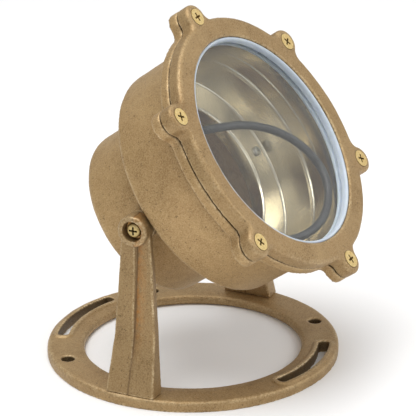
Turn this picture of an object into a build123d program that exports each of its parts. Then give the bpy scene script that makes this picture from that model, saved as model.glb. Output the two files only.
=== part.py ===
from build123d import *

import os
from math import cos, radians, sin, tan

# Cast bronze underwater pond light: a ring base, two legs and a round lamp head that tilts between them.
#
# Millimetres, +Z up. The origin is the centre of the base ring's underside, and the tilt axis runs along X.
# Head pieces are modelled in the head's own frame, whose origin is on the tilt axis, with +Z along the beam
# and +Y up the bezel. save() then puts them at the tilt that the head rests at.

# Stand
RING_R = 84.4
RING_BORE_R = 62.9
RING_T = 6.2
RING_FLAT_R = 69.6
RING_INNER_DROP = 0.9
RING_OUTER_ROUND = 2.2
RING_INNER_ROUND = 2.4
FIXING_PCR = 75.6
FIXING_R = 3.75
FIXING_ANGLES = (45, 135, 315)
SLOT_ANGLE = 88.4
SLOT_R = 76.0
SLOT_HALF_WIDTH = 3.1
SLOT_HALF_ANGLE = 22.9
SLOT_CORNER = 2.2
LIP_WIDTH = 2.7
LIP_END_ANGLE = 2.0
LIP_HEIGHT = 1.1
LIP_ROUND = 0.8
LIP_ROOT = 1.0

PIVOT_H = 100.1
PIVOT_Y = 1.1
FOOT_Y = -0.8
STRAP_ROUND = 0.9
KNUCKLE_R = 8.9
KNUCKLE_OUTER_X = 72.4
KNUCKLE_INNER_X = 62.4
KNUCKLE_ROUND = 1.5
COUNTERBORE_R = 5.9
COUNTERBORE_FLOOR_X = 65.6
GROOVE_DEPTH = 1.5
GROOVE_STEEP_WIDTH = 0.7
GROOVE_GENTLE_WIDTH = 4.2
LEG_SCREW_X = 76.2
LEG_SCREW_SPREAD = 8.0
LEG_SCREW_LENGTH = 14.0

# Sections of a leg, from the foot up: height, outer face's X, thickness, half widths of the outer and
# inner faces, Y of the middle, and the share of the groove's full depth.
LEG_SECTIONS = (
    (RING_T, 82.8, 10.8, 14.7, 15.3, FOOT_Y, 0.05),
    (38.0, 73.6, 7.8, 12.7, 11.5, -0.1, 1.0),
    (78.0, 69.1, 6.1, 10.3, 9.2, 0.7, 1.0),
    (PIVOT_H, 67.9, 5.4, 8.8, 7.7, PIVOT_Y, 1.0),
)

# Screws: head radius, head height and shank radius for pan heads; head radius and shank radius for flush ones
PAN_M5 = (4.25, 2.6, 2.5)
PAN_M4 = (3.9, 2.4, 2.0)
PAN_M3 = (2.85, 1.9, 1.5)
FLUSH_M5 = (5.0, 2.5)
FLUSH_RIM = 0.35
SCREW_POINT = 0.6
M5_CLEARANCE_R = 2.75
M5_SINK_R = 5.35
M3_CLEARANCE_R = 1.7
M4_CLEARANCE_R = 2.2

# Pivot washers
FLAT_WASHER_R = 5.6
FLAT_WASHER_T = 1.0
SPRING_WASHER_R = 4.6
SPRING_WASHER_T = 1.25
WASHER_PLAY = 0.05
WASHER_BORE_R = PAN_M5[2] + 0.15
SPLIT_WIDTH = 0.9

# Head
TILT = 36.0
BEZEL_FRONT = 65.6
BEZEL_T = 8.2
FLANGE_T = 6.4
PARTING_GAP = 0.45
RIM_R = 76.0
LUGS = 6
LUG_ANGLE = 30
LUG_PCR = 79.6
LUG_R = 8.2
LUG_BLEND = 5.0
RIM_ROUND = 2.4
OPENING_R = 63.6
GASKET_POCKET_R = 66.9
RETAINING_LIP_T = 2.2
BEZEL_SCREW_LENGTH = 14.0

DRUM_R = 69.0
DRUM_REAR_R = 68.3
DRUM_REAR_Z = 9.9
DRUM_BORE_R = 65.0
NECK_R = 49.6
NECK_REAR_R = 49.0
NECK_REAR_Z = -34.6
NECK_BORE_R = 45.0
WALL = 3.0
REAR_WALL = 4.5
NECK_ROUND = 4.5
DRUM_ROUND = 2.0
FLANGE_BLEND = 1.5
BOSS_ROOT = 0.5
CAN_BOSS_R = 4.5
BRACKET_BOSS_R = 5.5
RIM_STEP = 2.0

TRUNNION_R = 9.0
TRUNNION_FACE_X = 62.1
TRUNNION_HOLE_END_X = 49.6
PIVOT_SCREW_LENGTH = 17.0
RUNNING_CLEARANCE = 0.08
THREAD_CLEARANCE = 0.03

GLASS_R = 65.0
GLASS_FRONT = 5.0
GLASS_T = 4.0
GASKET_R = 66.8
GASKET_LIP_R = 61.7
GASKET_SEAT = 10.8
GASKET_FIT = 0.05
GASKET_PLAY = 0.1
GASKET_LIP_DEPTH = 2.2
GASKET_TOP_DEPTH = 1.0

# Half section of the spun reflector can as (radius, depth), down its outside and back up its inside
CAN_PROFILE = [
    (64.8, 11.0),
    (64.8, 11.8),
    (64.2, 11.8),
    (64.2, 20.0),
    (63.9, 20.6),
    (63.9, 28.8),
    (63.1, 30.2),
    (63.7, 31.6),
    (63.0, 50.4),
    (61.6, 51.8),
    (45.4, 51.8),
    (44.7, 52.5),
    (44.6, 60.0),
    (43.8, 60.0),
    (43.9, 52.1),
    (45.0, 51.0),
    (61.2, 51.0),
    (62.2, 50.0),
    (62.9, 31.6),
    (62.3, 30.2),
    (63.1, 28.8),
    (63.1, 20.6),
    (63.4, 20.0),
    (63.4, 11.0),
]
CAN_FLOOR_DEPTH = 51.8
CAN_T = 0.8
CAN_SCREW_PCR = 54.5
CAN_SCREW_ANGLES = (115, 235, 355)
CAN_SCREW_LENGTH = 3.6
CAN_SCREW_HOLE_END = 1.0

STRAP_PLATE_T = 1.0
STRAP_PLATE_W = 14.0
DISH_T = 0.8
CORE_X = 4.2
STRAP_PLATE_DEPTH = 88.6
BRACKET_SCREW_X = 36.0
DISH_SCREW_X = 15.2
HOLDER_H = 9.0
PIN_PITCH = 4.0
GROUND_POST = (20.0, 26.0)
POST_R = 4.5
POST_H = 2.0
TAG_T = 0.8

GLAND_THREAD_R = 8.0
GLAND_BORE_R = 5.0
CORD_HOLE_R = 4.5
GLAND_PAD_R = 16.0
GLAND_PAD_H = 2.0
GLAND_WASHER_R = 12.0
GLAND_WASHER_T = 1.2
GLAND_HEX_R = 11.0
GLAND_HEX_T = 5.0
GLAND_TAIL = 7.5
GLAND_SEAL_R = 7.6
GLAND_SEAL_T = 3.0
GLAND_NUT_L = 13.0
NUT_COLLAR = 3.0

LEAD_R = 2.4
CORE_R = 0.9
GROUND_LEAD_R = 1.1

# Route of the black lamp lead as (x, y, depth behind the bezel's front): from the splice behind the
# lampholder, up beside the lamp, round the front of the reflector and back down to the terminal block.
LEAD_ROUTE = [
    (0.0, 6.0, 92.8),
    (0.0, 17.0, 92.8),
    (-0.5, 27.0, 88.8),
    (-1.5, 33.0, 79.0),
    (-1.0, 31.5, 62.0),
    (5.0, 22.5, 38.0),
    (27.6, 14.4, 31.9),
    (41.0, 1.0, 23.5),
    (49.1, -16.1, 18.5),
    (48.6, -33.4, 15.6),
    (36.9, -47.2, 14.6),
    (15.0, -56.0, 15.1),
    (-8.0, -55.0, 20.0),
    (-21.0, -45.0, 32.0),
    (-21.0, -30.0, 45.0),
    (-25.5, -26.5, 62.0),
    (-26.5, -28.0, 78.0),
    (-22.5, -29.2, 86.5),
    (-14.5, -29.75, 91.6),
    (-5.0, -29.75, 92.2),
]
GROUND_ROUTE = [(20.0, 19.8), (25.5, 8.0), (26.5, -6.0), (23.0, -18.0), (15.2, -23.6)]
BLOCK_X = 7.0
BLOCK_Y = -29.75
BLOCK_W = 13.0
BLOCK_L = 19.5
BLOCK_H = 8.6
BLOCK_PITCH = 6.2
BLOCK_COLUMN = 6.4
BLOCK_WELL = 3.4

STAND = Plane.XY
HEAD = Plane(
    origin=(0, PIVOT_Y, PIVOT_H),
    x_dir=(1, 0, 0),
    z_dir=(0, -cos(radians(TILT)), sin(radians(TILT))),
)
PARTS = "parts"


def at_depth(depth):
    """Height in the head's frame of a point that lies this far behind the bezel's front."""
    return BEZEL_FRONT - depth


FLANGE_FRONT = at_depth(BEZEL_T + PARTING_GAP)
FLANGE_REAR = FLANGE_FRONT - FLANGE_T
DRUM_FLOOR = DRUM_REAR_Z + WALL
NECK_FLOOR = NECK_REAR_Z + REAR_WALL
STRAP_FRONT = at_depth(STRAP_PLATE_DEPTH)


def save(piece, node, place):
    """Labels a finished piece, puts it in the light's frame and writes its STEP file."""
    piece.part.label = node
    export_step(piece.part.moved(place.location), f"{PARTS}/{node}.step")


def vertex_at(section, radius, height):
    """The corner of a half section being drawn, at this radius and height."""
    return section.vertices().sort_by_distance((radius, height, 0))[0]


def turned(points):
    """Solid turned about Z from its half section, a closed list of (radius, height)."""
    with BuildPart() as body:
        with BuildSketch(Plane.XZ):
            with BuildLine():
                Polyline(*points, close=True)
            make_face()
        revolve(axis=Axis.Z)
    return body.part


def cross_recess(top, size, depth):
    """Tapered cross that a screw head's recess is cut with, reaching down from the head's top."""
    with BuildPart() as cutter:
        with BuildSketch(Plane.XY.offset(top)):
            Rectangle(size, size * 0.22)
            Rectangle(size * 0.22, size)
        extrude(amount=-depth, taper=6)
    return cutter.part


def countersunk_screw(head_r, shank_r, length):
    """Countersunk screw with its head's face at the origin and its shank down -Z."""
    cone = head_r - shank_r
    with BuildPart() as screw:
        add(
            turned(
                [
                    (0, 0),
                    (head_r, 0),
                    (head_r, -FLUSH_RIM),
                    (shank_r, -FLUSH_RIM - cone),
                    (shank_r, SCREW_POINT - length),
                    (shank_r - SCREW_POINT, -length),
                    (0, -length),
                ]
            )
        )
        add(cross_recess(0, head_r * 1.05, cone * 0.8), mode=Mode.SUBTRACT)
    return screw.part


def pan_screw(head_r, head_h, shank_r, length):
    """Pan head screw with the underside of its head at the origin and its shank down -Z."""
    with BuildPart() as screw:
        Cylinder(head_r, head_h, align=(Align.CENTER, Align.CENTER, Align.MIN))
        fillet(screw.faces().sort_by(Axis.Z)[-1].edges(), head_h * 0.6)
        Cylinder(shank_r, length, align=(Align.CENTER, Align.CENTER, Align.MAX))
        add(cross_recess(head_h, head_r * 1.15, head_h * 0.75), mode=Mode.SUBTRACT)
    return screw.part


def tube(points, radius, name):
    """Round lead along straight runs joined by arcs as large as the runs allow."""
    corners = []
    for before, here, after in zip(points, points[1:], points[2:]):
        run_in = Vector(*here) - Vector(*before)
        run_out = Vector(*after) - Vector(*here)
        turn = radians(run_in.get_angle(run_out))
        corners.append(0.45 * min(run_in.length, run_out.length) / tan(turn / 2))
    with BuildPart() as lead:
        with BuildLine() as path:
            FilletPolyline(*points, radius=corners)
        route = path.wire()
        with BuildSketch(Plane(origin=route @ 0, z_dir=route % 0)):
            Circle(radius)
        sweep(path=route)
    print(name, "arc radii", [round(r, 1) for r in corners], "length", round(route.length, 1))
    return lead.part


def arc_slot(half_width, half_angle, corner):
    """Curved slot centred on the X axis at the slot radius, with rounded corners."""
    with BuildSketch() as slot:
        with BuildLine():
            inner = CenterArc((0, 0), SLOT_R - half_width, -half_angle, 2 * half_angle)
            outer = CenterArc((0, 0), SLOT_R + half_width, -half_angle, 2 * half_angle)
            Line(inner @ 0, outer @ 0)
            Line(inner @ 1, outer @ 1)
        make_face()
        fillet(slot.vertices(), corner)
    return slot.sketch


def lugged_plate(bottom, thickness):
    """Round plate with the six screw lugs on its rim, blended in by concave fillets."""
    with BuildPart() as plate:
        with BuildSketch(Plane.XY.offset(bottom)):
            Circle(RIM_R)
            with PolarLocations(LUG_PCR, LUGS, start_angle=LUG_ANGLE):
                Circle(LUG_R)
        extrude(amount=thickness)
        fillet(plate.edges().filter_by(Axis.Z), LUG_BLEND)
    return plate.part


def leg_section(section):
    """Places and sizes of one section of the right leg's strap, drawn on a level plane."""
    height, outer_x, thickness, outer_half, inner_half, middle, _ = section
    with BuildSketch(Plane.XY.offset(height)) as outline:
        with BuildLine():
            Polyline(
                (outer_x, middle - outer_half),
                (outer_x, middle + outer_half),
                (outer_x - thickness, middle + inner_half),
                (outer_x - thickness, middle - inner_half),
                close=True,
            )
        make_face()
        fillet(outline.vertices(), STRAP_ROUND)
    return outline.sketch


def groove_section(section):
    """The groove's V at one section: a steep side towards +Y and a gentle one towards -Y."""
    height, outer_x, _, _, _, middle, share = section
    depth = GROOVE_DEPTH * share
    with BuildSketch(Plane.XY.offset(height)) as outline:
        with BuildLine():
            Polyline(
                (outer_x - depth, middle),
                (outer_x + depth, middle + 2 * GROOVE_STEEP_WIDTH * share),
                (outer_x + depth, middle - 2 * GROOVE_GENTLE_WIDTH * share),
                close=True,
            )
        make_face()
    return outline.sketch


os.makedirs(PARTS, exist_ok=True)

# ---------------------------------------------------------------- stand

foot = LEG_SECTIONS[0]
leg_screw_places = [
    (x, FOOT_Y + y) for x in (-LEG_SCREW_X, LEG_SCREW_X) for y in (-LEG_SCREW_SPREAD, LEG_SCREW_SPREAD)
]

with BuildPart() as base_ring:
    with BuildSketch(Plane.XZ) as ring_half:
        with BuildLine():
            Polyline(
                (RING_BORE_R, 0),
                (RING_R, 0),
                (RING_R, RING_T),
                (RING_FLAT_R, RING_T),
                (RING_BORE_R, RING_T - RING_INNER_DROP),
                close=True,
            )
        make_face()
        fillet(vertex_at(ring_half, RING_R, RING_T), RING_OUTER_ROUND)
        fillet(vertex_at(ring_half, RING_BORE_R, RING_T - RING_INNER_DROP), RING_INNER_ROUND)
        fillet(vertex_at(ring_half, RING_BORE_R, 0), RING_INNER_ROUND)
    revolve(axis=Axis.Z)
    with BuildSketch(Plane.XY.offset(RING_T / 2)):
        add(leg_section((0, *foot[1:])))
        add(mirror(leg_section((0, *foot[1:])), about=Plane.YZ, mode=Mode.PRIVATE))
    extrude(amount=RING_T / 2)
    with BuildSketch(Plane.XY.offset(RING_T - LIP_ROOT)):
        with PolarLocations(0, 2, start_angle=SLOT_ANGLE):
            add(
                arc_slot(
                    SLOT_HALF_WIDTH + LIP_WIDTH,
                    SLOT_HALF_ANGLE + LIP_END_ANGLE,
                    SLOT_CORNER + LIP_WIDTH,
                )
            )
    extrude(amount=LIP_ROOT + LIP_HEIGHT)
    fillet(base_ring.faces().sort_by(Axis.Z)[-2:].edges(), LIP_ROUND)
    with BuildSketch():
        with PolarLocations(0, 2, start_angle=SLOT_ANGLE):
            add(arc_slot(SLOT_HALF_WIDTH, SLOT_HALF_ANGLE, SLOT_CORNER))
        for angle in FIXING_ANGLES:
            with PolarLocations(FIXING_PCR, 1, start_angle=angle):
                Circle(FIXING_R)
    extrude(amount=RING_T + LIP_HEIGHT, mode=Mode.SUBTRACT)
    with Locations(Plane.XY.rotated((180, 0, 0))):
        with Locations(*[(x, -y) for x, y in leg_screw_places]):
            CounterSinkHole(M5_CLEARANCE_R, M5_SINK_R, counter_sink_angle=90)
save(base_ring, "base_ring", STAND)

with BuildPart() as leg_right:
    loft([leg_section(section).face() for section in LEG_SECTIONS], ruled=True)
    loft([groove_section(section).face() for section in LEG_SECTIONS], ruled=True, mode=Mode.SUBTRACT)
    with BuildSketch(Plane.YZ.offset(KNUCKLE_INNER_X)):
        with Locations((PIVOT_Y, PIVOT_H)):
            Circle(KNUCKLE_R)
    extrude(amount=KNUCKLE_OUTER_X - KNUCKLE_INNER_X)
    fillet(leg_right.edges().filter_by_position(Axis.X, KNUCKLE_OUTER_X, KNUCKLE_OUTER_X), KNUCKLE_ROUND)
    with BuildSketch(Plane.YZ.offset(COUNTERBORE_FLOOR_X)):
        with Locations((PIVOT_Y, PIVOT_H)):
            Circle(COUNTERBORE_R)
    extrude(amount=KNUCKLE_OUTER_X - COUNTERBORE_FLOOR_X, mode=Mode.SUBTRACT)
    with BuildSketch(Plane.YZ.offset(KNUCKLE_INNER_X)):
        with Locations((PIVOT_Y, PIVOT_H)):
            Circle(PAN_M5[2] + RUNNING_CLEARANCE)
    extrude(amount=COUNTERBORE_FLOOR_X - KNUCKLE_INNER_X, mode=Mode.SUBTRACT)
    with BuildSketch(Plane.XY.offset(RING_T)):
        with Locations(*[place for place in leg_screw_places if place[0] > 0]):
            Circle(FLUSH_M5[1] + THREAD_CLEARANCE)
    extrude(amount=LEG_SCREW_LENGTH - RING_T + 1, mode=Mode.SUBTRACT)
save(leg_right, "leg_right", STAND)

with BuildPart() as leg_left:
    add(mirror(leg_right.part, about=Plane.YZ, mode=Mode.PRIVATE))
save(leg_left, "leg_left", STAND)

with BuildPart() as leg_screws:
    with Locations(Plane.XY.rotated((180, 0, 0))):
        with Locations(*[(x, -y) for x, y in leg_screw_places]):
            add(countersunk_screw(*FLUSH_M5, LEG_SCREW_LENGTH))
save(leg_screws, "leg_screws", STAND)

# ---------------------------------------------------------------- head castings

with BuildPart() as housing:
    with BuildSketch(Plane.XZ) as outside:
        with BuildLine():
            Polyline(
                (0, NECK_REAR_Z - GLAND_PAD_H),
                (GLAND_PAD_R, NECK_REAR_Z - GLAND_PAD_H),
                (GLAND_PAD_R, NECK_REAR_Z),
                (NECK_REAR_R, NECK_REAR_Z),
                (NECK_R, DRUM_REAR_Z),
                (DRUM_REAR_R, DRUM_REAR_Z),
                (DRUM_R, FLANGE_REAR),
                (RIM_R - RIM_STEP, FLANGE_REAR),
                (RIM_R - RIM_STEP, FLANGE_FRONT),
                (0, FLANGE_FRONT),
                close=True,
            )
        make_face()
        for corner, blend in (
            ((NECK_REAR_R, NECK_REAR_Z), NECK_ROUND),
            ((NECK_R, DRUM_REAR_Z), DRUM_ROUND),
            ((DRUM_REAR_R, DRUM_REAR_Z), DRUM_ROUND),
            ((DRUM_R, FLANGE_REAR), FLANGE_BLEND),
        ):
            fillet(vertex_at(outside, *corner), blend)
    revolve(axis=Axis.Z)
    with BuildSketch(Plane.YZ.offset(-TRUNNION_FACE_X)):
        Circle(TRUNNION_R)
        with Locations((0, DRUM_REAR_Z / 2 + 1)):
            Rectangle(1.4 * TRUNNION_R, DRUM_REAR_Z + 2)
    extrude(amount=2 * TRUNNION_FACE_X)
    add(lugged_plate(FLANGE_REAR, FLANGE_T))
    with BuildSketch(Plane.XZ) as inside:
        with BuildLine():
            Polyline(
                (0, NECK_FLOOR),
                (NECK_BORE_R, NECK_FLOOR),
                (NECK_BORE_R, DRUM_FLOOR),
                (DRUM_BORE_R, DRUM_FLOOR),
                (DRUM_BORE_R, at_depth(GASKET_SEAT)),
                (GASKET_POCKET_R, at_depth(GASKET_SEAT)),
                (GASKET_POCKET_R, FLANGE_FRONT + 1),
                (0, FLANGE_FRONT + 1),
                close=True,
            )
        make_face()
        fillet(vertex_at(inside, NECK_BORE_R, NECK_FLOOR), 3)
        fillet(vertex_at(inside, DRUM_BORE_R, DRUM_FLOOR), 2)
    revolve(axis=Axis.Z, mode=Mode.SUBTRACT)
    with BuildSketch(Plane.XY.offset(NECK_FLOOR - BOSS_ROOT)):
        with Locations((-BRACKET_SCREW_X, 0), (BRACKET_SCREW_X, 0)):
            Circle(BRACKET_BOSS_R)
    extrude(amount=STRAP_FRONT - STRAP_PLATE_T - NECK_FLOOR + BOSS_ROOT)
    with BuildSketch(Plane.XY.offset(NECK_FLOOR - BOSS_ROOT)):
        with Locations(GROUND_POST):
            Circle(POST_R)
    extrude(amount=POST_H + BOSS_ROOT)
    can_floor = at_depth(CAN_FLOOR_DEPTH)
    for angle in CAN_SCREW_ANGLES:
        with BuildSketch(Plane.XY.offset(DRUM_FLOOR - BOSS_ROOT)):
            with PolarLocations(CAN_SCREW_PCR, 1, start_angle=angle):
                Circle(CAN_BOSS_R)
        extrude(amount=can_floor - DRUM_FLOOR + BOSS_ROOT)
        with BuildSketch(Plane.XY.offset(DRUM_REAR_Z + CAN_SCREW_HOLE_END)):
            with PolarLocations(CAN_SCREW_PCR, 1, start_angle=angle):
                Circle(PAN_M3[2] + THREAD_CLEARANCE)
        extrude(amount=can_floor, mode=Mode.SUBTRACT)
    with BuildSketch(Plane.XY.offset(NECK_FLOOR - 3)):
        with Locations((-BRACKET_SCREW_X, 0), (BRACKET_SCREW_X, 0), GROUND_POST):
            Circle(PAN_M4[2] + THREAD_CLEARANCE)
    extrude(amount=20, mode=Mode.SUBTRACT)
    with BuildSketch(Plane.XY.offset(NECK_REAR_Z - GLAND_PAD_H)):
        Circle(GLAND_THREAD_R + THREAD_CLEARANCE)
    extrude(amount=20, mode=Mode.SUBTRACT)
    with BuildSketch(Plane.XY.offset(FLANGE_REAR)):
        with PolarLocations(LUG_PCR, LUGS, start_angle=LUG_ANGLE):
            Circle(FLUSH_M5[1] + THREAD_CLEARANCE)
    extrude(amount=FLANGE_T, mode=Mode.SUBTRACT)
    for side in (-1, 1):
        with BuildSketch(Plane.YZ.offset(side * TRUNNION_FACE_X)):
            Circle(PAN_M5[2] + THREAD_CLEARANCE)
        extrude(amount=-side * (TRUNNION_FACE_X - TRUNNION_HOLE_END_X), mode=Mode.SUBTRACT)
save(housing, "housing", HEAD)

with BuildPart() as bezel_ring:
    add(lugged_plate(at_depth(BEZEL_T), BEZEL_T))
    fillet(bezel_ring.faces().sort_by(Axis.Z)[-1].outer_wire().edges(), RIM_ROUND)
    with BuildSketch(Plane.XY.offset(at_depth(BEZEL_T))):
        Circle(OPENING_R)
    extrude(amount=BEZEL_T, mode=Mode.SUBTRACT)
    fillet(bezel_ring.faces().sort_by(Axis.Z)[-1].inner_wires().edges(), 1.0)
    with BuildSketch(Plane.XY.offset(at_depth(BEZEL_T))):
        Circle(GASKET_POCKET_R)
    extrude(amount=BEZEL_T - RETAINING_LIP_T, mode=Mode.SUBTRACT)
    with Locations(Plane.XY.offset(BEZEL_FRONT)):
        with PolarLocations(LUG_PCR, LUGS, start_angle=LUG_ANGLE):
            CounterSinkHole(M5_CLEARANCE_R, M5_SINK_R, counter_sink_angle=90)
save(bezel_ring, "bezel_ring", HEAD)

with BuildPart() as bezel_screws:
    with Locations(Plane.XY.offset(BEZEL_FRONT)):
        with PolarLocations(LUG_PCR, LUGS, start_angle=LUG_ANGLE):
            add(countersunk_screw(*FLUSH_M5, BEZEL_SCREW_LENGTH))
save(bezel_screws, "bezel_screws", HEAD)

# ---------------------------------------------------------------- lens

with BuildPart() as lens_glass:
    with BuildSketch(Plane.XY.offset(at_depth(GLASS_FRONT + GLASS_T))):
        Circle(GLASS_R)
    extrude(amount=GLASS_T)
    chamfer(lens_glass.edges(), 0.4)
save(lens_glass, "lens_glass", HEAD)

with BuildPart() as lens_gasket:
    with BuildSketch(Plane.XZ) as section:
        with BuildLine():
            Polyline(
                (GASKET_LIP_R, at_depth(GLASS_FRONT - GASKET_FIT)),
                (GASKET_LIP_R, at_depth(GASKET_LIP_DEPTH)),
                (GASKET_LIP_R + 0.7, at_depth(GASKET_TOP_DEPTH)),
                (OPENING_R - GASKET_PLAY, at_depth(GASKET_TOP_DEPTH + 0.2)),
                (OPENING_R - GASKET_PLAY, at_depth(RETAINING_LIP_T)),
                (GASKET_R, at_depth(RETAINING_LIP_T)),
                (GASKET_R, at_depth(GASKET_SEAT)),
                (GASKET_LIP_R, at_depth(GASKET_SEAT)),
                (GASKET_LIP_R, at_depth(GLASS_FRONT + GLASS_T + GASKET_FIT)),
                (GLASS_R + GASKET_FIT, at_depth(GLASS_FRONT + GLASS_T + GASKET_FIT)),
                (GLASS_R + GASKET_FIT, at_depth(GLASS_FRONT - GASKET_FIT)),
                close=True,
            )
        make_face()
    revolve(axis=Axis.Z)
save(lens_gasket, "lens_gasket", HEAD)

# ---------------------------------------------------------------- tilt pivots

with BuildPart() as pivot_screws:
    head_x = COUNTERBORE_FLOOR_X + WASHER_PLAY + FLAT_WASHER_T + SPRING_WASHER_T
    upright = (0, cos(radians(TILT)), sin(radians(TILT)))
    for side in (-1, 1):
        with Locations(Plane(origin=(side * head_x, 0, 0), x_dir=upright, z_dir=(side, 0, 0))):
            add(pan_screw(*PAN_M5, PIVOT_SCREW_LENGTH))
save(pivot_screws, "pivot_screws", HEAD)

with BuildPart() as pivot_washers:
    for side in (-1, 1):
        with BuildSketch(Plane.YZ.offset(side * (COUNTERBORE_FLOOR_X + WASHER_PLAY))):
            Circle(FLAT_WASHER_R)
            Circle(WASHER_BORE_R, mode=Mode.SUBTRACT)
        extrude(amount=side * FLAT_WASHER_T)
save(pivot_washers, "pivot_washers", HEAD)

with BuildPart() as pivot_spring_washers:
    for side in (-1, 1):
        with BuildSketch(Plane.YZ.offset(side * (COUNTERBORE_FLOOR_X + WASHER_PLAY + FLAT_WASHER_T))):
            Circle(SPRING_WASHER_R)
            Circle(WASHER_BORE_R, mode=Mode.SUBTRACT)
            with Locations((0, SPRING_WASHER_R)):
                Rectangle(SPLIT_WIDTH, 4, rotation=20, mode=Mode.SUBTRACT)
        extrude(amount=side * SPRING_WASHER_T)
save(pivot_spring_washers, "pivot_spring_washers", HEAD)

# ---------------------------------------------------------------- reflector and lamp

with BuildPart() as reflector_can:
    with BuildSketch(Plane.XZ) as section:
        with BuildLine():
            Polyline(
                *[(radius, at_depth(depth)) for radius, depth in CAN_PROFILE],
                close=True,
            )
        make_face()
    revolve(axis=Axis.Z)
    for angle in CAN_SCREW_ANGLES:
        with BuildSketch(Plane.XY.offset(at_depth(CAN_FLOOR_DEPTH))):
            with PolarLocations(CAN_SCREW_PCR, 1, start_angle=angle):
                Circle(M3_CLEARANCE_R)
        extrude(amount=CAN_T, mode=Mode.SUBTRACT)
save(reflector_can, "reflector_can", HEAD)

with BuildPart() as reflector_screws:
    with Locations(Plane.XY.offset(at_depth(CAN_FLOOR_DEPTH - CAN_T))):
        for angle in CAN_SCREW_ANGLES:
            with PolarLocations(CAN_SCREW_PCR, 1, start_angle=angle):
                add(pan_screw(*PAN_M3, CAN_SCREW_LENGTH))
save(reflector_screws, "reflector_screws", HEAD)

with BuildPart() as lamp_bracket:
    with BuildSketch(Plane.XY.offset(STRAP_FRONT - STRAP_PLATE_T)) as strap:
        SlotOverall(2 * BRACKET_SCREW_X + STRAP_PLATE_W, STRAP_PLATE_W)
        with Locations((-BRACKET_SCREW_X, 0), (BRACKET_SCREW_X, 0)):
            Circle(M4_CLEARANCE_R, mode=Mode.SUBTRACT)
        with Locations((-DISH_SCREW_X, 0), (DISH_SCREW_X, 0)):
            Circle(PAN_M3[2] + THREAD_CLEARANCE, mode=Mode.SUBTRACT)
        with Locations((-CORE_X, 0), (CORE_X, 0)):
            Circle(1.6, mode=Mode.SUBTRACT)
    extrude(amount=STRAP_PLATE_T)
save(lamp_bracket, "lamp_bracket", HEAD)

with BuildPart() as bracket_screws:
    with Locations(Plane.XY.offset(STRAP_FRONT)):
        with Locations((-BRACKET_SCREW_X, 0), (BRACKET_SCREW_X, 0)):
            add(pan_screw(*PAN_M4, 8.0))
save(bracket_screws, "bracket_screws", HEAD)

with BuildPart() as lamp_dish:
    with BuildSketch(Plane.XZ):
        with BuildLine():
            Polyline(
                (25.4, at_depth(62.5)),
                (25.4, at_depth(63.3)),
                (24.4, at_depth(63.3)),
            )
            Spline(
                (24.4, at_depth(63.3)),
                (20.4, at_depth(71.0)),
                (14.6, at_depth(77.6)),
                (11.8, at_depth(79.6)),
            )
            Polyline(
                (11.8, at_depth(79.6)),
                (11.8, STRAP_FRONT + DISH_T),
                (18.5, STRAP_FRONT + DISH_T),
                (18.5, STRAP_FRONT),
                (11.0, STRAP_FRONT),
                (11.0, at_depth(79.2)),
            )
            Spline(
                (11.0, at_depth(79.2)),
                (14.1, at_depth(76.9)),
                (19.8, at_depth(70.4)),
                (23.8, at_depth(62.5)),
            )
            Line((23.8, at_depth(62.5)), (25.4, at_depth(62.5)))
        make_face()
    revolve(axis=Axis.Z)
    with BuildSketch(Plane.XY.offset(STRAP_FRONT)):
        with Locations((-DISH_SCREW_X, 0), (DISH_SCREW_X, 0)):
            Circle(M3_CLEARANCE_R)
    extrude(amount=1, mode=Mode.SUBTRACT)
save(lamp_dish, "lamp_dish", HEAD)

with BuildPart() as dish_screws:
    with Locations(Plane.XY.offset(STRAP_FRONT + DISH_T)):
        with Locations((-DISH_SCREW_X, 0), (DISH_SCREW_X, 0)):
            add(pan_screw(*PAN_M3, 3.4))
save(dish_screws, "dish_screws", HEAD)

HOLDER_FRONT = STRAP_FRONT + HOLDER_H
with BuildPart() as lampholder:
    with BuildSketch(Plane.XY.offset(STRAP_FRONT)):
        SlotOverall(19, 10)
    extrude(amount=HOLDER_H)
    fillet(lampholder.faces().sort_by(Axis.Z)[-1].edges(), 0.8)
    with BuildSketch(Plane.XY.offset(HOLDER_FRONT)):
        with Locations((-PIN_PITCH / 2, 0), (PIN_PITCH / 2, 0)):
            Circle(0.6)
    extrude(amount=-7.5, mode=Mode.SUBTRACT)
    with BuildSketch(Plane.XY.offset(STRAP_FRONT)):
        with Locations((-CORE_X, 0), (CORE_X, 0)):
            Circle(CORE_R + 0.1)
    extrude(amount=1.2, mode=Mode.SUBTRACT)
save(lampholder, "lampholder", HEAD)

with BuildPart() as lamp_pinch:
    with BuildSketch(Plane.XY.offset(HOLDER_FRONT + 0.1)):
        RectangleRounded(8.4, 4.2, 1.4)
    extrude(amount=6.0)
    with BuildSketch(Plane.XY.offset(HOLDER_FRONT + 0.1)):
        with Locations((-PIN_PITCH / 2, 0), (PIN_PITCH / 2, 0)):
            Circle(0.36)
    extrude(amount=1.5, mode=Mode.SUBTRACT)
save(lamp_pinch, "lamp_pinch", HEAD)

with BuildPart() as lamp_pins:
    with BuildSketch(Plane.XY.offset(HOLDER_FRONT - 6.5)):
        with Locations((-PIN_PITCH / 2, 0), (PIN_PITCH / 2, 0)):
            Circle(0.35)
    extrude(amount=8.0)
save(lamp_pins, "lamp_pins", HEAD)

ENVELOPE_BOTTOM = HOLDER_FRONT + 6.1
with BuildPart() as lamp_envelope:
    with BuildSketch(Plane.XZ) as section:
        with BuildLine():
            top = ENVELOPE_BOTTOM + 15.5
            Polyline(
                (3.6, ENVELOPE_BOTTOM),
                (4.5, ENVELOPE_BOTTOM),
                (4.5, top),
                (0, top),
                (0, top - 0.9),
                (3.6, top - 0.9),
                close=True,
            )
        make_face()
        fillet(vertex_at(section, 4.5, top), 4.0)
        fillet(vertex_at(section, 3.6, top - 0.9), 3.1)
    revolve(axis=Axis.Z)
save(lamp_envelope, "lamp_envelope", HEAD)

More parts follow.
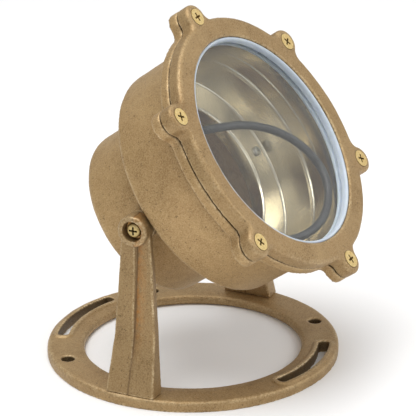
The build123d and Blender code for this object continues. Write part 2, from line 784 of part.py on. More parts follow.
with BuildPart() as lamp_filament:
    with BuildSketch(Plane.XY.offset(ENVELOPE_BOTTOM)):
        with Locations((-1.8, 0), (1.8, 0)):
            Circle(0.25)
    extrude(amount=8.2)
    with BuildSketch(Plane.YZ.offset(-2.4)):
        with Locations((0, ENVELOPE_BOTTOM + 8.2)):
            Circle(0.55)
    extrude(amount=4.8)
save(lamp_filament, "lamp_filament", HEAD)

# ---------------------------------------------------------------- wiring inside the neck

with BuildPart() as terminal_block:
    with BuildSketch(Plane.XY.offset(NECK_FLOOR)):
        with Locations((BLOCK_X, BLOCK_Y)):
            RectangleRounded(BLOCK_W, BLOCK_L, 1.0)
    extrude(amount=BLOCK_H)
    with BuildSketch(Plane.XY.offset(NECK_FLOOR + BLOCK_H)):
        with GridLocations(BLOCK_COLUMN, BLOCK_PITCH, 2, 3):
            with Locations((BLOCK_X, BLOCK_Y)):
                Circle(1.8)
    extrude(amount=-BLOCK_WELL, mode=Mode.SUBTRACT)
save(terminal_block, "terminal_block", HEAD)

with BuildPart() as terminal_screws:
    with Locations(Plane.XY.offset(NECK_FLOOR + BLOCK_H - BLOCK_WELL)):
        with GridLocations(BLOCK_COLUMN, BLOCK_PITCH, 2, 3):
            with Locations((BLOCK_X, BLOCK_Y)):
                Cylinder(1.7, 2.4, align=(Align.CENTER, Align.CENTER, Align.MIN))
                with Locations((0, 0, 2.4)):
                    Box(3.6, 0.5, 0.9, align=(Align.CENTER, Align.CENTER, Align.MAX), mode=Mode.SUBTRACT)
save(terminal_screws, "terminal_screws", HEAD)

with BuildPart() as lamp_lead:
    add(tube([(x, y, at_depth(depth)) for x, y, depth in LEAD_ROUTE], LEAD_R, "lamp_lead"))
save(lamp_lead, "lamp_lead", HEAD)

with BuildPart() as lead_cores:
    for side in (-1, 1):
        holder_end = [(side * 1.0, 5.5, 92.8), (side * CORE_X, 0.3, 92.6), (side * CORE_X, 0, 87.6)]
        block_end = [
            (-4.4, BLOCK_Y + side, 92.3),
            (-2.0, BLOCK_Y + side * BLOCK_PITCH / 2, 92.3),
            (BLOCK_X - BLOCK_W / 2 - 0.05, BLOCK_Y + side * BLOCK_PITCH / 2, 92.3),
        ]
        for route in (holder_end, block_end):
            points = [(x, y, at_depth(depth)) for x, y, depth in route]
            add(tube(points, CORE_R, "lead_cores"))
save(lead_cores, "lead_cores", HEAD)

POST_TOP = NECK_FLOOR + POST_H
with BuildPart() as ground_terminal:
    with BuildSketch(Plane.XY.offset(POST_TOP)):
        with Locations(GROUND_POST):
            Circle(4.0)
        with Locations((GROUND_POST[0], GROUND_POST[1] - 4.4)):
            Rectangle(3.0, 3.0)
        with Locations(GROUND_POST):
            Circle(2.15, mode=Mode.SUBTRACT)
    extrude(amount=TAG_T)
save(ground_terminal, "ground_terminal", HEAD)

with BuildPart() as ground_screw:
    with Locations((*GROUND_POST, POST_TOP + TAG_T)):
        add(pan_screw(*PAN_M4, 5.5))
save(ground_screw, "ground_screw", HEAD)

with BuildPart() as ground_lead:
    ground_z = POST_TOP + TAG_T + GROUND_LEAD_R
    add(tube([(x, y, ground_z) for x, y in GROUND_ROUTE], GROUND_LEAD_R, "ground_lead"))
save(ground_lead, "ground_lead", HEAD)

# ---------------------------------------------------------------- cord inlet

PAD_FACE = NECK_REAR_Z - GLAND_PAD_H
HEX_FACE = PAD_FACE - GLAND_WASHER_T - GLAND_HEX_T
NUT_END = HEX_FACE - GLAND_NUT_L
with BuildPart() as gland_washer:
    with BuildSketch(Plane.XY.offset(PAD_FACE - GLAND_WASHER_T)):
        Circle(GLAND_WASHER_R)
        Circle(GLAND_THREAD_R + 0.1, mode=Mode.SUBTRACT)
    extrude(amount=GLAND_WASHER_T)
save(gland_washer, "gland_washer", HEAD)

with BuildPart() as gland_body:
    with BuildSketch(Plane.XY.offset(HEX_FACE)):
        RegularPolygon(GLAND_HEX_R, 6, major_radius=False)
    extrude(amount=GLAND_HEX_T)
    chamfer(gland_body.faces().sort_by(Axis.Z)[0].edges(), 0.6)
    with BuildSketch(Plane.XY.offset(HEX_FACE - GLAND_TAIL)):
        Circle(GLAND_THREAD_R)
    extrude(amount=NECK_FLOOR - HEX_FACE + GLAND_TAIL)
    with BuildSketch(Plane.XY.offset(HEX_FACE - GLAND_TAIL)):
        Circle(GLAND_BORE_R)
    extrude(amount=60, mode=Mode.SUBTRACT)
save(gland_body, "gland_body", HEAD)

with BuildPart() as gland_seal:
    with BuildSketch(Plane.XY.offset(HEX_FACE - GLAND_TAIL - GLAND_SEAL_T)):
        Circle(GLAND_SEAL_R)
        Circle(CORD_HOLE_R - 0.3, mode=Mode.SUBTRACT)
    extrude(amount=GLAND_SEAL_T)
save(gland_seal, "gland_seal", HEAD)

with BuildPart() as gland_nut:
    with BuildSketch(Plane.XY.offset(NUT_END + NUT_COLLAR)):
        RegularPolygon(GLAND_HEX_R, 6, major_radius=False)
    extrude(amount=HEX_FACE - 0.6 - NUT_END - NUT_COLLAR)
    with BuildSketch(Plane.XY.offset(NUT_END)):
        Circle(9.0)
    extrude(amount=NUT_COLLAR)
    fillet(gland_nut.faces().sort_by(Axis.Z)[0].edges(), 1.5)
    with BuildSketch(Plane.XY.offset(NUT_END)):
        Circle(CORD_HOLE_R)
    extrude(amount=20, mode=Mode.SUBTRACT)
    with BuildSketch(Plane.XY.offset(NUT_END + 2.5)):
        Circle(GLAND_THREAD_R + THREAD_CLEARANCE)
    extrude(amount=20, mode=Mode.SUBTRACT)
save(gland_nut, "gland_nut", HEAD)
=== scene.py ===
"""Looks of the cast bronze underwater pond light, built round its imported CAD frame. Metres, +Z up."""

from math import cos, radians, sin, tau

import bmesh
import bpy
from mathutils import Matrix, Vector


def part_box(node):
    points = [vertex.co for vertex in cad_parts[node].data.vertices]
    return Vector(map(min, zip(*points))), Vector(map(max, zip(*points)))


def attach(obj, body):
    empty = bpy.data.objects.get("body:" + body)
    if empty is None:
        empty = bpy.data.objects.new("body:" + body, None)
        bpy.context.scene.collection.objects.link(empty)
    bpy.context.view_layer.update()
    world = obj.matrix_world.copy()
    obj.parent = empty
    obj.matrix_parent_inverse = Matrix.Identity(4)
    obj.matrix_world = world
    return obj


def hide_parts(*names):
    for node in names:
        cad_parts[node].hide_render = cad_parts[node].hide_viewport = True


MM = 0.001

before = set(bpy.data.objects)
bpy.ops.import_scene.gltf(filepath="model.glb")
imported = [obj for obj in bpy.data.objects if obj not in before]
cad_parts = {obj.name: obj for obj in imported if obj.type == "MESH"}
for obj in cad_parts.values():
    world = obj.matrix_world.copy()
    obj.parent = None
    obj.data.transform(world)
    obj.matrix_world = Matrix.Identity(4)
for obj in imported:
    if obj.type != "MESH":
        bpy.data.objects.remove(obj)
bpy.context.view_layer.update()


# ---------------------------------------------------------------- shapes in millimetres, in the head frame

# Size of the mesh that each casting is rebuilt with
VOXELS = {"base_ring": 0.7, "leg_left": 0.55, "leg_right": 0.55, "housing": 1.0, "bezel_ring": 0.65}
EDGE_R = 0.5
LEAD_R = 2.4
FLOOR_HALF_WIDTH_M = 6.0

# Half section of the silicone that holds the glass, as (radius, depth behind the bezel's front)
GASKET_LIP_R = 61.7
GASKET_GROOVE_R = 65.0
GASKET_OUTER_R = 66.8
GASKET_POINTS = [
    (GASKET_LIP_R, 5.0),
    (GASKET_LIP_R, 2.2),
    (62.4, 1.0),
    (63.5, 1.2),
    (63.5, 2.2),
    (GASKET_OUTER_R, 2.2),
    (GASKET_OUTER_R, 10.8),
    (GASKET_LIP_R, 10.8),
    (GASKET_LIP_R, 9.0),
    (GASKET_GROOVE_R, 9.0),
    (GASKET_GROOVE_R, 5.0),
]

# Half section of the spun reflector can, down its outside and back up its inside
CAN_POINTS = [
    (64.8, 11.0),
    (64.8, 11.8),
    (64.2, 11.8),
    (64.2, 20.0),
    (63.9, 20.6),
    (63.9, 28.8),
    (63.1, 30.2),
    (63.7, 31.6),
    (63.0, 50.4),
    (61.6, 51.8),
    (45.4, 51.8),
    (44.7, 52.5),
    (44.6, 60.0),
    (43.8, 60.0),
    (43.9, 52.1),
    (45.0, 51.0),
    (61.2, 51.0),
    (62.2, 50.0),
    (62.9, 31.6),
    (62.3, 30.2),
    (63.1, 28.8),
    (63.1, 20.6),
    (63.4, 20.0),
    (63.4, 11.0),
]

# Route of the black lamp lead as (x, y, depth): from the splice behind the lampholder, up beside the lamp,
# round the front of the reflector and back down to the terminal block
LEAD_ROUTE = [
    (0.0, 6.0, 92.8),
    (0.0, 17.0, 92.8),
    (-0.5, 27.0, 88.8),
    (-1.5, 33.0, 79.0),
    (-1.0, 31.5, 62.0),
    (5.0, 22.5, 38.0),
    (27.6, 14.4, 31.9),
    (41.0, 1.0, 23.5),
    (49.1, -16.1, 18.5),
    (48.6, -33.4, 15.6),
    (36.9, -47.2, 14.6),
    (15.0, -56.0, 15.1),
    (-8.0, -55.0, 20.0),
    (-21.0, -45.0, 32.0),
    (-21.0, -30.0, 45.0),
    (-25.5, -26.5, 62.0),
    (-26.5, -28.0, 78.0),
    (-22.5, -29.2, 86.5),
    (-14.5, -29.75, 91.6),
    (-5.0, -29.75, 92.2),
]

# Lamp filament: a coil with two straight feet
COIL_TURNS = 9
COIL_STEPS = 12
COIL_R = 0.5
COIL_RISE = 3.9
FOOT_X = 1.8
FOOT_DROP = 4.2
FILAMENT_WIRE_R = 0.14


# ---------------------------------------------------------------- places read from the frame


def centre(node):
    """Middle of a CAD node's box."""
    low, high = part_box(node)
    return (low + high) / 2


GLASS_MIDDLE_DEPTH = 7 * MM
PIVOT = centre("pivot_screws")
BEAM = (centre("lens_glass") - PIVOT).normalized()
ACROSS = Vector((1, 0, 0))
UP_BEZEL = BEAM.cross(ACROSS)
BEZEL_FRONT = (centre("lens_glass") - PIVOT).length + GLASS_MIDDLE_DEPTH
HEAD = Matrix((ACROSS, UP_BEZEL, BEAM)).transposed().to_4x4()
HEAD.translation = PIVOT


def in_head(x, y, depth):
    """Point in the row frame from millimetres across, up the bezel and behind the bezel's front."""
    return HEAD @ Vector((x * MM, y * MM, BEZEL_FRONT - depth * MM))


# ---------------------------------------------------------------- camera, light and floor


def add_camera():
    """Long lens, from the left and a little above, as the light is pictured."""
    azimuth, elevation, roll = radians(-64.05), radians(21.918), radians(-0.529)
    distance, focal_length = 1.6048, 244.77
    aim = PIVOT + Vector((0, -11.5, -10.2)) * MM
    back = Vector((sin(azimuth) * cos(elevation), -cos(azimuth) * cos(elevation), sin(elevation)))
    right = (-back).cross(Vector((0, 0, 1))).normalized()
    up = right.cross(-back)
    turned_right = right * cos(roll) + up * sin(roll)
    turned_up = up * cos(roll) - right * sin(roll)
    data = bpy.data.cameras.new("camera")
    data.lens = focal_length
    camera = bpy.data.objects.new("camera", data)
    bpy.context.scene.collection.objects.link(camera)
    camera.matrix_world = Matrix((turned_right, turned_up, back)).transposed().to_4x4()
    camera.location = aim + back * distance
    bpy.context.scene.camera = camera


def add_area_light(name, place, size, power, colour=(1, 1, 1)):
    """Soft square light aimed at the middle of the object."""
    data = bpy.data.lights.new(name, "AREA")
    data.size = size
    data.energy = power
    data.color = colour
    light = bpy.data.objects.new(name, data)
    bpy.context.scene.collection.objects.link(light)
    light.location = place
    light.rotation_euler = (Vector((0, 0, 0.1)) - Vector(place)).to_track_quat("-Z", "Y").to_euler()


def add_surroundings():
    """White room: brighter overhead than at the horizon, with a soft window that the lens mirrors."""
    world = bpy.data.worlds.new("studio")
    bpy.context.scene.world = world
    world.use_nodes = True
    nodes, links = world.node_tree.nodes, world.node_tree.links
    direction = nodes.new("ShaderNodeTexCoord").outputs["Generated"]
    split = nodes.new("ShaderNodeSeparateXYZ")
    links.new(direction, split.inputs[0])
    sky = nodes.new("ShaderNodeValToRGB")
    sky.color_ramp.elements[0].color = (0.56, 0.56, 0.57, 1)
    sky.color_ramp.elements[1].position = 0.8
    sky.color_ramp.elements[1].color = (1, 1, 1, 1)
    links.new(split.outputs["Z"], sky.inputs["Fac"])
    towards = nodes.new("ShaderNodeVectorMath")
    towards.operation = "DOT_PRODUCT"
    links.new(direction, towards.inputs[0])
    towards.inputs[1].default_value = Vector((0.86, -0.47, 0.22)).normalized()
    window = nodes.new("ShaderNodeValToRGB")
    window.color_ramp.interpolation = "EASE"
    window.color_ramp.elements[0].position = 0.86
    window.color_ramp.elements[0].color = (0, 0, 0, 1)
    window.color_ramp.elements[1].position = 0.99
    window.color_ramp.elements[1].color = (0.22, 0.21, 0.2, 1)
    links.new(towards.outputs["Value"], window.inputs["Fac"])
    total = nodes.new("ShaderNodeMix")
    total.data_type = "RGBA"
    total.blend_type = "ADD"
    total.clamp_result = False
    total.inputs[0].default_value = 1.0
    links.new(sky.outputs["Color"], total.inputs[6])
    links.new(window.outputs["Color"], total.inputs[7])
    background = nodes["Background"]
    links.new(total.outputs[2], background.inputs["Color"])
    background.inputs["Strength"].default_value = 0.68


def add_floor():
    """Wide pale floor at the height that the light stands on."""
    half = FLOOR_HALF_WIDTH_M
    corners = [(-half, -half, 0), (half, -half, 0), (half, half, 0), (-half, half, 0)]
    mesh = bpy.data.meshes.new("floor")
    mesh.from_pydata(corners, [], [(0, 1, 2, 3)])
    floor = bpy.data.objects.new("floor", mesh)
    bpy.context.scene.collection.objects.link(floor)
    floor.data.materials.append(floor_paint())


# ---------------------------------------------------------------- materials


def srgb(red, green, blue):
    """Linear colour from 0 to 255 display values."""
    shares = (red / 255, green / 255, blue / 255)
    return tuple(c / 12.92 if c < 0.04 else ((c + 0.055) / 1.055) ** 2.4 for c in shares) + (1,)


class Shader:
    """One material's nodes, with short calls for the ones that these materials share."""

    def __init__(self, name):
        self.material = bpy.data.materials.new(name)
        self.material.use_nodes = True
        self.tree = self.material.node_tree
        self.tree.nodes.clear()
        self.surface = self.add("ShaderNodeBsdfPrincipled")
        output = self.add("ShaderNodeOutputMaterial")
        self.tree.links.new(self.surface.outputs[0], output.inputs[0])
        self.place = self.add("ShaderNodeTexCoord").outputs["Object"]

    def add(self, kind, inputs=None, **settings):
        """New node with its settings, and its inputs linked or set."""
        node = self.tree.nodes.new(kind)
        for key, value in settings.items():
            setattr(node, key, value)
        for key, value in (inputs or {}).items():
            self.feed(node.inputs[key], value)
        return node

    def feed(self, socket, value):
        """Links a socket into another, or sets its value."""
        if isinstance(value, bpy.types.NodeSocket):
            self.tree.links.new(value, socket)
        else:
            socket.default_value = value

    def noise(self, size, detail=3.0, roughness=0.5, at=None):
        """Cloudy noise with features about this many millimetres across."""
        inputs = {"Vector": at or self.place, "Scale": 1 / (size * MM), "Detail": detail}
        inputs["Roughness"] = roughness
        return self.add("ShaderNodeTexNoise", inputs).outputs["Fac"]

    def cells(self, size, at=None):
        """Distance from the middle of cells about this many millimetres across."""
        inputs = {"Vector": at or self.place, "Scale": 1 / (size * MM)}
        return self.add("ShaderNodeTexVoronoi", inputs).outputs["Distance"]

    def levels(self, value, low, high, to_low=0.0, to_high=1.0):
        """Stretches low to high onto another range, and clips the rest."""
        inputs = {"Value": value, "From Min": low, "From Max": high, "To Min": to_low, "To Max": to_high}
        return self.add("ShaderNodeMapRange", inputs).outputs["Result"]

    def math(self, operation, a, b=0.0):
        """Arithmetic on two numbers."""
        return self.add("ShaderNodeMath", {0: a, 1: b}, operation=operation).outputs[0]

    def mix(self, factor, a, b, blend="MIX"):
        """Mix of two colours."""
        inputs = {0: factor, 6: a, 7: b}
        return self.add("ShaderNodeMix", inputs, data_type="RGBA", blend_type=blend).outputs[2]

    def bump(self, height, distance, strength=1.0):
        """Normal from a height of 0 to 1 that stands for this many millimetres."""
        inputs = {"Height": height, "Distance": distance * MM, "Strength": strength}
        return self.add("ShaderNodeBump", inputs).outputs["Normal"]

    def in_head(self):
        """Coordinates in the head's frame: across, up the bezel and along the beam."""
        inputs = {"Vector": self.place, "Location": PIVOT, "Rotation": HEAD.to_euler()}
        return self.add("ShaderNodeMapping", inputs, vector_type="TEXTURE").outputs[0]

    def set(self, **values):
        """Feeds the surface's own sockets, with _ for a space in their names."""
        for key, value in values.items():
            self.feed(self.surface.inputs[key.replace("_", " ")], value)
        return self.material


def floor_paint():
    """Matt white backdrop paper with the faintest tooth."""
    s = Shader("floor_paint")
    tone = s.mix(s.noise(90, 2), srgb(243, 243, 243), srgb(247, 247, 247))
    return s.set(Base_Color=tone, Roughness=0.9, Specular_IOR_Level=0.1, Normal=s.bump(s.noise(2), 0.05))


def cast_bronze(name, tone=1.0, wear_and_highlight=0.8, own_shade=False, groove=False, reach=9.0, painted_shade_weight=0.7):
    """Sand-cast bronze: gritty skin, cloudy tarnish, creases darker, edges rubbed bright with painted
    highlights, and painted shade in corners and recesses.
    """
    s = Shader(name)
    cloud = s.levels(s.noise(24, 5, 0.65), 0.34, 0.66)
    mottle = s.levels(s.noise(3.6, 4, 0.7), 0.36, 0.66)
    stain = s.levels(s.noise(46, 4, 0.6), 0.48, 0.7)
    grit = s.noise(0.8, 2, 0.65)
    speck = s.levels(s.noise(1.5, 3, 0.7), 0.6, 0.7)
    pits = s.levels(s.cells(3.0), 0.0, 0.15, 1.0, 0.0)
    pointy = s.add("ShaderNodeNewGeometry").outputs["Pointiness"]
    patches = s.math("MULTIPLY", s.levels(s.noise(1.2, 2), 0.38, 0.6), s.levels(s.noise(11, 3), 0.3, 0.62))
    rubbed_and_highlit = s.math("MULTIPLY", s.levels(pointy, 0.507, 0.548), patches)
    hollow = s.levels(pointy, 0.43, 0.49, 1.0, 0.0)
    shade_inputs = {"Distance": reach * MM}
    shade = s.add("ShaderNodeAmbientOcclusion", shade_inputs, samples=6, only_local=own_shade).outputs["AO"]
    painted_shade_mask = s.levels(shade, 0.38, 0.88, 1.0, 0.0)

    colour = s.mix(cloud, srgb(142 * tone, 110 * tone, 64 * tone), srgb(180 * tone, 148 * tone, 99 * tone))
    colour = s.mix(s.math("MULTIPLY", stain, 0.45), colour, srgb(136, 98, 52))
    colour = s.mix(s.math("MULTIPLY", mottle, 0.35), colour, srgb(186 * tone, 154 * tone, 106 * tone))
    pale_grain = s.math("MULTIPLY", s.levels(grit, 0.36, 0.64), 0.55)
    colour = s.mix(pale_grain, colour, srgb(206 * tone, 176 * tone, 128 * tone))
    colour = s.mix(s.math("MULTIPLY", speck, 0.75), colour, srgb(84, 62, 34))
    colour = s.mix(s.math("MULTIPLY", pits, 0.7), colour, srgb(62, 44, 24))
    if groove:
        split = s.add("ShaderNodeSeparateXYZ", {0: s.place})
        across = s.levels(split.outputs["Y"], -7 * MM, -1 * MM)
        below_groove = s.levels(split.outputs["Y"], -0.4 * MM, 0.4 * MM, 1.0, 0.0)
        height = s.levels(split.outputs["Z"], 22 * MM, 48 * MM)
        beside = s.math("MULTIPLY", across, below_groove)
        # Painted light: an orange tint on the groove's gentle wall, where light falls on it.
        painted_slope_light = s.math("MULTIPLY", beside, s.math("MULTIPLY", height, mottle))
        colour = s.mix(s.math("MULTIPLY", painted_slope_light, 0.8), colour, srgb(184, 120, 44))
        # Painted shadow: a dark line down the groove's steep, shaded wall.
        from_line = s.math("ABSOLUTE", s.math("SUBTRACT", split.outputs["Y"], 0.1 * MM))
        line = s.levels(from_line, 0.1 * MM, 0.8 * MM, 1.0, 0.0)
        colour = s.mix(s.math("MULTIPLY", line, 0.6), colour, srgb(84, 56, 26))
    # Painted shade: ambient occlusion darkens slot walls, counterbores and crowded corners towards
    # near-black bronze.
    colour = s.mix(s.math("MULTIPLY", painted_shade_mask, painted_shade_weight), colour, srgb(38, 27, 15))
    colour = s.mix(s.math("MULTIPLY", hollow, 0.6), colour, srgb(80, 58, 34))
    # Edge wear plus painted highlight: near-white bronze on sharp edges and roundings, partly standing in
    # for highlights.
    colour = s.mix(s.math("MULTIPLY", rubbed_and_highlit, wear_and_highlight), colour, srgb(244, 222, 180))
    dry = s.math("ADD", s.math("MULTIPLY", cloud, 0.5), s.math("MULTIPLY", grit, 0.5))
    rough = s.levels(dry, 0, 1, 0.58, 0.4)
    skin = s.math("SUBTRACT", s.math("MULTIPLY", grit, 0.7), s.math("MULTIPLY", pits, 0.5))
    grain = s.bump(skin, 0.3, 0.95)
    return s.set(Base_Color=colour, Metallic=0.5, Specular_IOR_Level=0.6, Roughness=rough, Normal=grain)


def screw_brass(name, tone):
    """Turned brass: pale yellow, with fine turning rings, and painted shade darkening the recess."""
    s = Shader(name)
    shade = s.add("ShaderNodeAmbientOcclusion", {"Distance": 2.2 * MM}, samples=6).outputs["AO"]
    worn = s.levels(s.noise(1.4, 4, 0.6), 0.35, 0.7)
    colour = s.mix(worn, srgb(222 * tone, 190 * tone, 122 * tone), srgb(252 * tone, 228 * tone, 164 * tone))
    # Painted shade: ambient occlusion darkens the brass inside the recess.
    colour = s.mix(s.levels(shade, 0.3, 0.8, 0.7, 0.0), colour, srgb(84, 56, 26))
    rough = s.levels(worn, 0, 1, 0.44, 0.3)
    turning = s.bump(s.noise(0.35, 2), 0.03, 0.6)
    return s.set(Base_Color=colour, Metallic=0.85, Roughness=rough, Normal=turning)


def copper_washer():
    """Dull copper-coloured phosphor bronze."""
    s = Shader("copper_washer_look")
    tarnish = s.levels(s.noise(1.8, 4), 0.35, 0.68)
    colour = s.mix(tarnish, srgb(196, 146, 88), srgb(238, 196, 132))
    rough = s.levels(tarnish, 0, 1, 0.52, 0.36)
    return s.set(Base_Color=colour, Metallic=0.85, Roughness=rough, Normal=s.bump(s.noise(0.4), 0.03, 0.6))


def zinc_steel():
    """Zinc-plated steel with a faint yellow bloom."""
    s = Shader("zinc_steel_look")
    bloom = s.levels(s.noise(3.0, 4), 0.35, 0.7)
    colour = s.mix(bloom, srgb(172, 174, 174), srgb(204, 200, 184))
    rough = s.levels(bloom, 0, 1, 0.38, 0.26)
    return s.set(Base_Color=colour, Metallic=1.0, Roughness=rough, Normal=s.bump(s.noise(0.5), 0.02, 0.5))


def spun_aluminium(name, roughness):
    """Polished aluminium with the fine rings that spinning leaves, and a light haze."""
    s = Shader(name)
    local = s.in_head()
    squeeze = {0: local, 1: (0.05, 0.05, 1.0)}
    squeezed = s.add("ShaderNodeVectorMath", squeeze, operation="MULTIPLY").outputs[0]
    rings = s.noise(0.9, 3, 0.6, at=squeezed)
    haze = s.levels(s.noise(18, 4), 0.35, 0.7)
    colour = s.mix(haze, srgb(214, 205, 184), srgb(230, 221, 200))
    rough = s.levels(haze, 0, 1, roughness + 0.04, roughness)
    return s.set(Base_Color=colour, Metallic=1.0, Roughness=rough, Normal=s.bump(rings, 0.0012, 0.3))


def lens_glass():
    """Clear toughened glass with faint smears."""
    s = Shader("lens_glass_look")
    smear = s.levels(s.noise(40, 4), 0.4, 0.75)
    return s.set(
        Base_Color=(0.965, 0.98, 0.975, 1),
        Transmission_Weight=1.0,
        IOR=1.5,
        Roughness=s.levels(smear, 0, 1, 0.0, 0.03),
    )


def silicone():
    """Milky translucent silicone, a little blue."""
    s = Shader("silicone_look")
    cloud = s.noise(6, 3)
    colour = s.mix(cloud, srgb(176, 187, 198), srgb(200, 208, 216))
    return s.set(
        Base_Color=colour,
        Roughness=s.levels(s.noise(2.5, 3), 0.3, 0.7, 0.34, 0.46),
        Subsurface_Weight=0.35,
        Subsurface_Radius=(0.002, 0.002, 0.003),
        Subsurface_Scale=1.0,
        Normal=s.bump(s.noise(1.8, 2), 0.04, 0.5),
    )


def soft_black(name, colour, roughness):
    """Rubber or plastic skin with slight bloom and fine grain."""
    s = Shader(name)
    bloom = s.levels(s.noise(5, 4), 0.4, 0.75)
    tone = s.mix(bloom, srgb(*colour), srgb(*(min(255, c + 22) for c in colour)))
    return s.set(
        Base_Color=tone,
        Roughness=s.levels(bloom, 0, 1, roughness, roughness + 0.12),
        Normal=s.bump(s.noise(0.6, 2), 0.03, 0.6),
    )


def quartz():
    """Clear fused quartz."""
    s = Shader("quartz_look")
    rough = s.levels(s.noise(3, 3), 0.4, 0.8, 0.0, 0.05)
    return s.set(Base_Color=(1, 1, 1, 1), Transmission_Weight=1.0, IOR=1.46, Roughness=rough)


def ceramic():
    """Glazed white steatite with tiny dark specks."""
    s = Shader("ceramic_look")
    specks = s.levels(s.noise(0.8, 3, 0.7), 0.66, 0.74)
    colour = s.mix(specks, srgb(232, 228, 216), srgb(176, 168, 150))
    return s.set(Base_Color=colour, Roughness=0.32, Coat_Weight=0.3, Normal=s.bump(s.noise(1.0), 0.03, 0.5))


def tungsten():
    """Dark grey drawn wire."""
    s = Shader("tungsten_look")
    colour = s.mix(s.noise(0.3, 3), srgb(92, 92, 96), srgb(138, 138, 142))
    return s.set(Base_Color=colour, Metallic=1.0, Roughness=0.42)


# ---------------------------------------------------------------- shapes


def soften_casting(node, voxel):
    """Gives a CAD casting the rounded edges and gently uneven skin that a sand mould leaves."""
    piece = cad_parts[node]
    remesh = piece.modifiers.new("mould_grain_mesh", "REMESH")
    remesh.mode = "VOXEL"
    remesh.voxel_size = voxel * MM
    remesh.use_smooth_shade = True
    smooth = piece.modifiers.new("soft_edges", "SMOOTH")
    smooth.factor = 0.5
    smooth.iterations = 3
    for size, height in ((14.0, 0.35), (2.2, 0.16)):
        texture = bpy.data.textures.new(f"sand_{size}", "CLOUDS")
        texture.noise_scale = size * MM
        texture.noise_depth = 2
        displace = piece.modifiers.new("sand_skin", "DISPLACE")
        displace.texture = texture
        displace.texture_coords = "LOCAL"
        displace.strength = height * MM
        displace.mid_level = 0.5


def paint(material, *nodes):
    """Puts one material on whole CAD nodes."""
    for node in nodes:
        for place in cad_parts[node].material_slots:
            place.material = material


def rounded(points, radius, steps=4):
    """Closed outline of (radius, depth) points with each corner turned into an arc."""
    outline = []
    count = len(points)
    for i, here in enumerate(points):
        before, after = Vector(points[i - 1]), Vector(points[(i + 1) % count])
        here = Vector(here)
        reach = min(radius, 0.45 * (before - here).length, 0.45 * (after - here).length)
        start = here + (before - here).normalized() * reach
        end = here + (after - here).normalized() * reach
        for k in range(steps + 1):
            t = k / steps
            outline.append(start * (1 - t) ** 2 + here * 2 * t * (1 - t) + end * t**2)
    return outline


def lathe(name, outline, material, segments=160):
    """Ring turned about the beam from a closed outline of (radius, depth) in millimetres."""
    body = bmesh.new()
    rows = []
    for k in range(segments):
        angle = tau * k / segments
        places = [in_head(r * cos(angle), r * sin(angle), depth) for r, depth in outline]
        rows.append([body.verts.new(place) for place in places])
    for k in range(segments):
        row, following = rows[k], rows[(k + 1) % segments]
        for i in range(len(outline)):
            j = (i + 1) % len(outline)
            body.faces.new((row[i], row[j], following[j], following[i]))
    bmesh.ops.recalc_face_normals(body, faces=body.faces)
    mesh = bpy.data.meshes.new(name)
    body.to_mesh(mesh)
    body.free()
    for face in mesh.polygons:
        face.use_smooth = True
    piece = bpy.data.objects.new(name, mesh)
    bpy.context.scene.collection.objects.link(piece)
    piece.data.materials.append(material)
    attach(piece, "head")
    return piece


def wire(name, points, radius, material, order=3):
    """Round wire along a smooth NURBS line through the row frame."""
    data = bpy.data.curves.new(name, "CURVE")
    data.dimensions = "3D"
    data.bevel_depth = radius * MM
    data.bevel_resolution = 6
    data.resolution_u = 16
    data.use_fill_caps = True
    line = data.splines.new("NURBS")
    line.points.add(len(points) - 1)
    for spot, point in zip(line.points, points):
        spot.co = (*point, 1)
    line.order_u = order
    line.use_endpoint_u = True
    piece = bpy.data.objects.new(name, data)
    bpy.context.scene.collection.objects.link(piece)
    piece.data.materials.append(material)
    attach(piece, "head")
    return piece


# ---------------------------------------------------------------- the object


def finish_castings():
    """Ring, legs, housing and bezel."""
    for node, voxel in VOXELS.items():
        soften_casting(node, voxel)
    # Each part's tone, the second number, is partly painted shade: the legs, ring and bezel are made darker
    # than the housing to stand for the shade they sit in.
    ring = cast_bronze("cast_bronze_ring", 0.91, 0.9, own_shade=True, reach=11.0, painted_shade_weight=1.0)
    leg = cast_bronze("cast_bronze_leg", 0.87, 0.85, own_shade=True, groove=True, painted_shade_weight=0.5)
    paint(ring, "base_ring")
    paint(leg, "leg_left", "leg_right")
    paint(cast_bronze("cast_bronze_housing", 0.97, 0.5), "housing")
    paint(cast_bronze("cast_bronze_bezel", 0.9, 0.6), "bezel_ring")


def finish_metalwork():
    """Screws, washers, the brass gland and the lamp's brackets."""
    brass, copper, zinc = screw_brass("screw_brass_look", 1.0), copper_washer(), zinc_steel()
    paint(brass, "bezel_screws", "leg_screws", "terminal_screws", "ground_screw", "gland_body", "gland_nut")
    paint(screw_brass("aged_brass_look", 0.8), "pivot_screws")
    paint(copper, "pivot_washers", "pivot_spring_washers", "ground_terminal")
    paint(zinc, "reflector_screws", "lamp_bracket", "bracket_screws", "dish_screws", "lamp_pins")


def add_lens():
    """Glass and the silicone that holds it."""
    paint(lens_glass(), "lens_glass")
    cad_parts["lens_glass"].visible_shadow = False
    outline = rounded(GASKET_POINTS, EDGE_R)
    gasket = lathe("silicone_gasket", outline, silicone())
    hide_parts("lens_gasket")


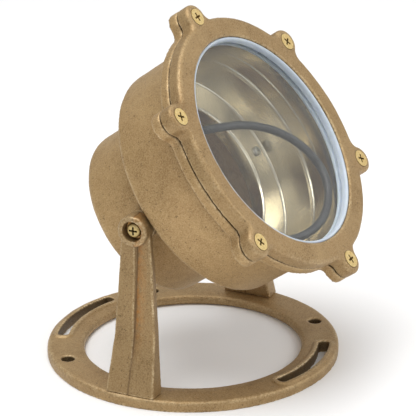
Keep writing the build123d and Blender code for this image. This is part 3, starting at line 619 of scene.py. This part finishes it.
def add_reflector():
    """Spun can, and the dish round the lamp."""
    can_outline = rounded(CAN_POINTS, EDGE_R)
    can = lathe("spun_can", can_outline, spun_aluminium("can_aluminium", 0.2), 200)
    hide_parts("reflector_can")
    paint(spun_aluminium("dish_aluminium", 0.1), "lamp_dish")


def add_lamp():
    """Capsule lamp in its holder."""
    clear = quartz()
    paint(clear, "lamp_envelope", "lamp_pinch")
    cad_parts["lamp_envelope"].visible_shadow = False
    paint(ceramic(), "lampholder")
    low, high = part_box("lamp_filament")
    width = high.x - low.x
    middle = (HEAD.inverted() @ centre("lamp_filament")).z
    points = []
    for k in range(COIL_TURNS * COIL_STEPS + 1):
        angle = tau * k / COIL_STEPS
        x = -width / 2 + width * k / (COIL_TURNS * COIL_STEPS)
        y, z = COIL_R * MM * cos(angle), COIL_R * MM * sin(angle)
        points.append(HEAD @ Vector((x, y, middle + COIL_RISE * MM + z)))
    foot = HEAD @ Vector((-FOOT_X * MM, 0, middle - FOOT_DROP * MM))
    other_foot = HEAD @ Vector((FOOT_X * MM, 0, middle - FOOT_DROP * MM))
    filament = wire("filament_coil", [foot, *points, other_foot], FILAMENT_WIRE_R, tungsten())
    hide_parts("lamp_filament")


def add_wiring():
    """Black lamp lead, its cores, the ground lead and the terminal block."""
    rubber = soft_black("black_rubber_look", (34, 36, 36), 0.42)
    lead = wire("lamp_lead_round", [in_head(*point) for point in LEAD_ROUTE], LEAD_R, rubber)
    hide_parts("lamp_lead")
    paint(rubber, "gland_washer", "gland_seal")
    paint(soft_black("core_insulation_look", (196, 190, 178), 0.4), "lead_cores")
    paint(soft_black("ground_insulation_look", (48, 112, 62), 0.4), "ground_lead")
    paint(soft_black("block_plastic_look", (226, 220, 206), 0.38), "terminal_block")


def main():
    """Builds everything in the order that it is looked at."""
    bpy.context.scene.view_settings.view_transform = "Standard"
    add_camera()
    add_surroundings()
    add_floor()
    add_area_light("overhead", (-0.2, 0.15, 1.5), 1.1, 15)
    add_area_light("left_fill", (-1.3, -0.9, 0.9), 1.0, 3)
    add_area_light("right_key", (0.55, -1.2, 0.95), 0.8, 5)
    finish_castings()
    finish_metalwork()
    add_lens()
    add_reflector()
    add_lamp()
    add_wiring()


main()
